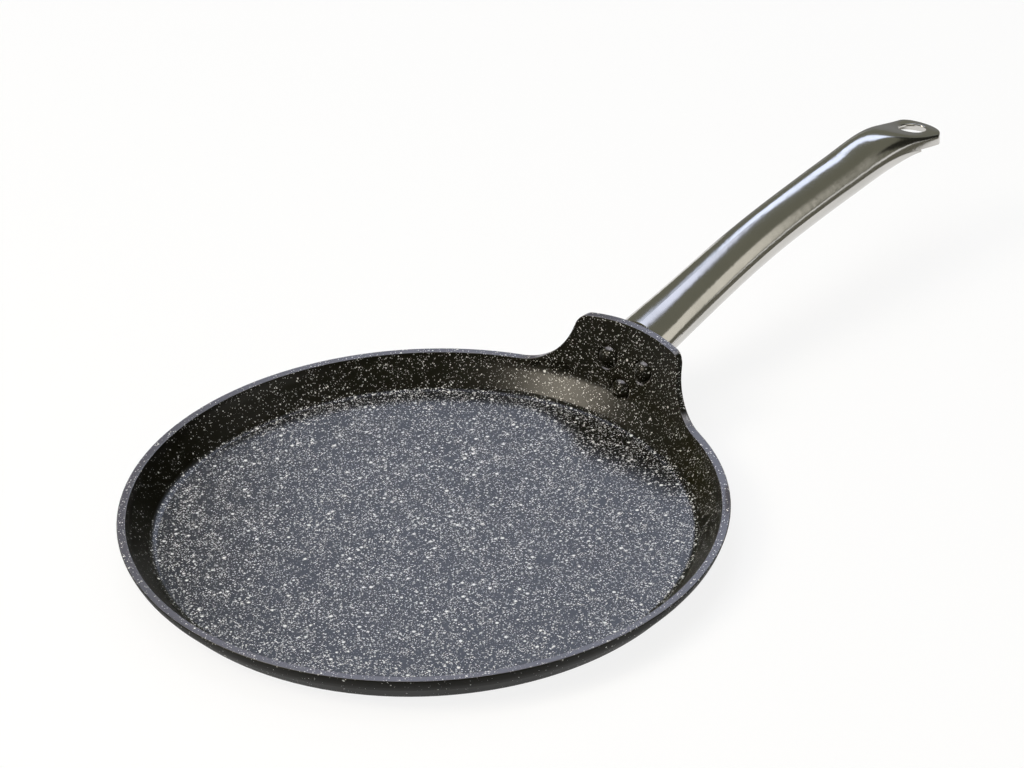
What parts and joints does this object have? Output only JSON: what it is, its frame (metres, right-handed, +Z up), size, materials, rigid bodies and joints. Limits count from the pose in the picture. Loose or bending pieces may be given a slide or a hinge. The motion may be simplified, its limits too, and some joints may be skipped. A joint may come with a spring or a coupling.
{
  "type": "crepe_pan",
  "caption": "Shallow coated aluminium crepe pan with an upright tab and a riveted, hollow, polished stainless steel handle with a hanging hole.",
  "frame": {"origin": "centre of the flat underside of the base, in the plane that it rests on", "axes": "+Z up, +X along the handle away from the pan, +Y to the left of the handle seen from the pan's centre"},
  "size_m": [0.5112, 0.2794, 0.0761],
  "materials": {
    "stone_coating": "satin non-stick coating, dark grey densely flecked with white",
    "coated_rivet": "satin non-stick coating with pale flecks",
    "polished_steel": "mirror-polished stainless steel",
    "bracket_steel": "satin stainless steel",
    "base_steel": "turned stainless steel"
  },
  "bodies": {
    "root": {"pan_body": "stone_coating", "induction_disc": "base_steel", "handle_upper_shell": "polished_steel", "handle_lower_shell": "polished_steel", "handle_bracket": "bracket_steel", "rivet_left": "coated_rivet", "rivet_right": "coated_rivet", "rivet_lower": "coated_rivet"}
  },
  "joints": []
}
